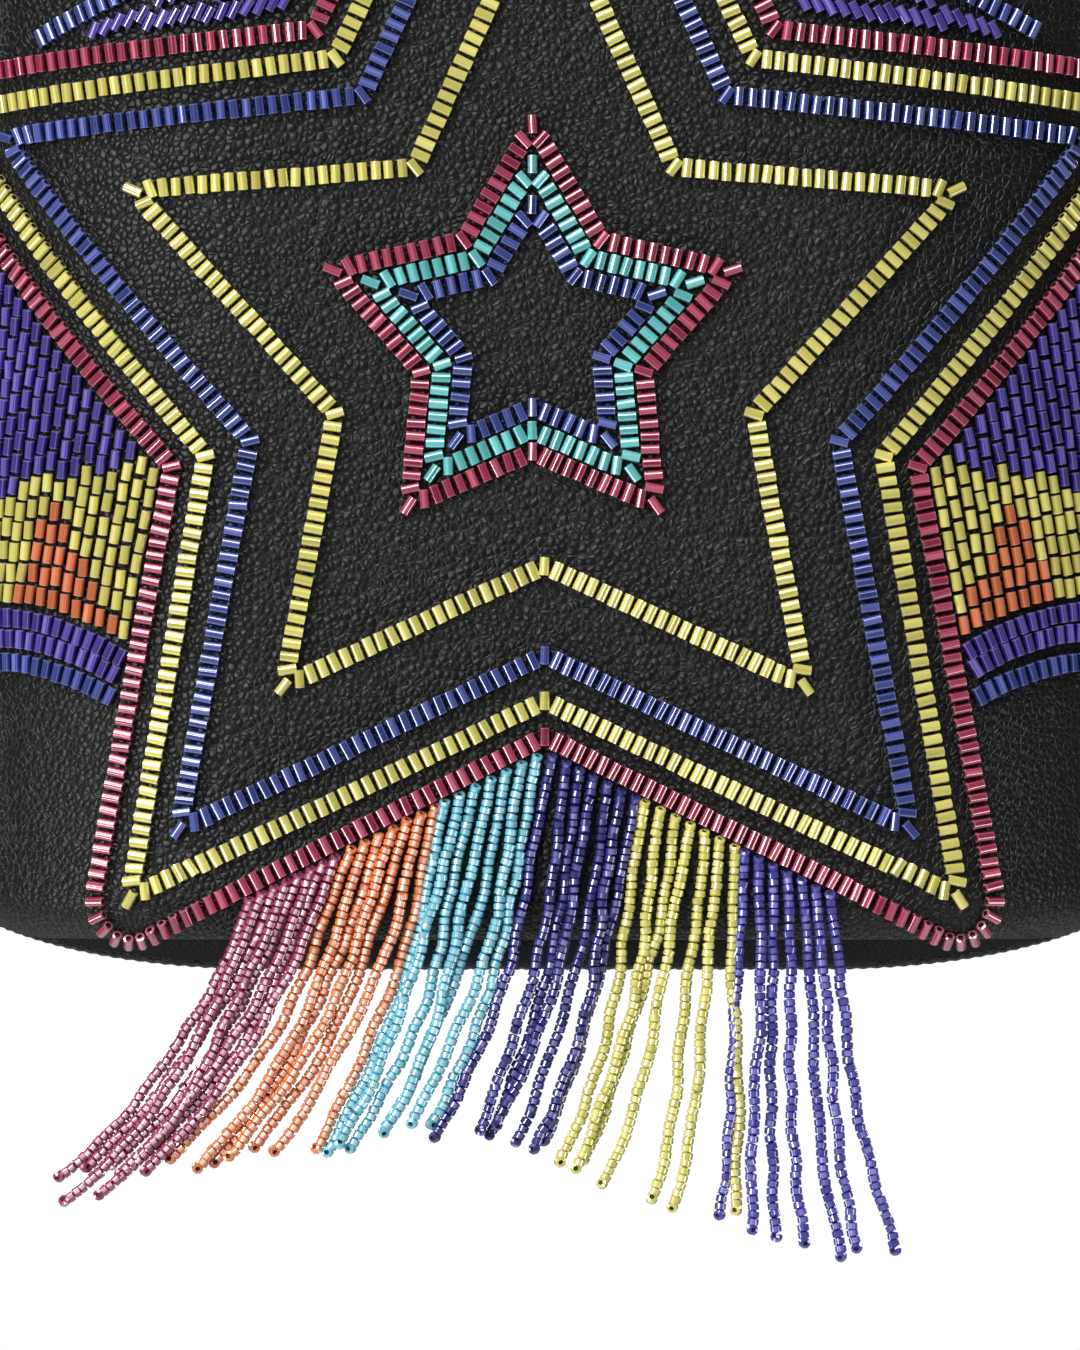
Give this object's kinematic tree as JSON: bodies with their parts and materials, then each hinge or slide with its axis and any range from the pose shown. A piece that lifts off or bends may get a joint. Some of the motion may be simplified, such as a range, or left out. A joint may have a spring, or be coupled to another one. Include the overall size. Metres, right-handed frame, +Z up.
{
  "type": "beaded backpack",
  "caption": "Soft black leather backpack whose rolled front carries nested star lines and side fields of bugle beads, with a many-coloured bead fringe hanging below.",
  "frame": {"origin": "the point under the top of the handle's arch from which the bag hangs", "axes": "+Z up, +Y from the beaded front to the straps, +X to the right seen from the front"},
  "size_m": [0.2686, 0.1664, 0.4163],
  "materials": {
    "leather_black": "pebbled matte",
    "metal_zip": "satin",
    "bead_crimson": "silver-lined gloss",
    "bead_yellow": "silver-lined gloss",
    "bead_blue": "silver-lined gloss",
    "bead_aqua": "silver-lined gloss",
    "bead_violet": "silver-lined gloss",
    "bead_orange": "silver-lined gloss",
    "bead_navy": "lustre gloss"
  },
  "bodies": {
    "root": {"front_panel": "leather_black", "base_band": "leather_black", "welt": "leather_black", "gusset": "leather_black", "zip_panel_front": "leather_black", "zip_panel_back": "leather_black", "back_panel": "leather_black", "handle": "leather_black", "strap_left": "leather_black", "strap_right": "leather_black", "zip_chain": "metal_zip", "zip_slider": "metal_zip", "strap_slider_left": "metal_zip", "strap_slider_right": "metal_zip", "star_line_crimson_outer": "bead_crimson", "star_line_crimson_inner": "bead_crimson", "fringe_crimson": "bead_crimson", "star_line_yellow_outer": "bead_yellow", "star_line_yellow_middle": "bead_yellow", "yellow_field_left": "bead_yellow", "yellow_field_right": "bead_yellow", "fringe_yellow": "bead_yellow", "star_line_blue_outer": "bead_blue", "star_line_blue_inner": "bead_blue", "border_row_lower_left": "bead_blue", "border_row_lower_right": "bead_blue", "border_row_upper_left": "bead_blue", "border_row_upper_right": "bead_blue", "star_line_aqua_inner": "bead_aqua", "fringe_aqua": "bead_aqua", "violet_field_lower_left": "bead_violet", "violet_field_lower_right": "bead_violet", "violet_field_upper_left": "bead_violet", "violet_field_upper_right": "bead_violet", "violet_band_left": "bead_violet", "violet_band_right": "bead_violet", "fringe_violet": "bead_violet", "fringe_orange": "bead_orange", "fringe_navy": "bead_navy"}
  },
  "joints": []
}
